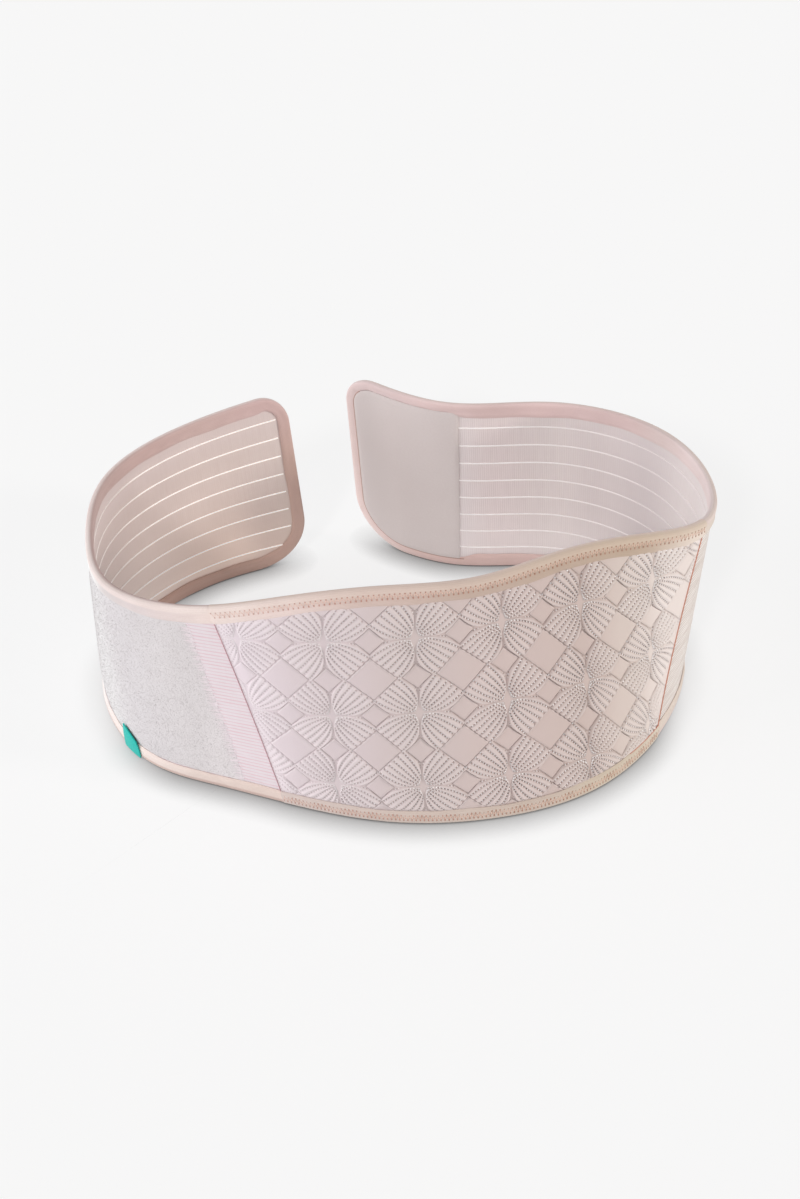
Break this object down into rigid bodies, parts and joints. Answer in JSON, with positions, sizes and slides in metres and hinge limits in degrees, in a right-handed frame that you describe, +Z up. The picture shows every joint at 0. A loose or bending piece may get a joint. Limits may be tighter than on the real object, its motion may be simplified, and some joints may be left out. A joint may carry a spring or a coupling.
{
  "type": "maternity belly band",
  "caption": "Soft pregnancy support band standing as an open loop: quilted front panel, ribbed elastic wings, plush and hook closure patches, bound edges.",
  "frame": {"origin": "middle of the band's footprint, on the surface that its lower edge stands on", "axes": "+X across the front from the wearer's right to left as the band is seen from outside, +Y from the quilted front towards the open back, +Z up"},
  "size_m": [0.376, 0.2726, 0.1563],
  "materials": {
    "quilted_fabric": "soft brushed knit, embossed quilting",
    "left_webbing": "ribbed elastic webbing with white ribs",
    "right_webbing": "ribbed elastic webbing with white ribs",
    "plush_pile": "short brushed loop pile",
    "hook_tape": "smooth fine hook tape",
    "panel_tape": "matte folded elastic binding with coral stitching",
    "wing_tape": "matte folded elastic binding",
    "tag_tape": "plain woven tape"
  },
  "bodies": {
    "root": {"quilt_panel": "quilted_fabric", "left_wing": "left_webbing", "right_wing": "right_webbing", "loop_patch": "plush_pile", "hook_patch": "hook_tape", "panel_top_binding": "panel_tape", "panel_bottom_binding": "panel_tape", "left_wing_binding": "wing_tape", "right_wing_binding": "wing_tape", "side_tag": "tag_tape"}
  },
  "joints": []
}
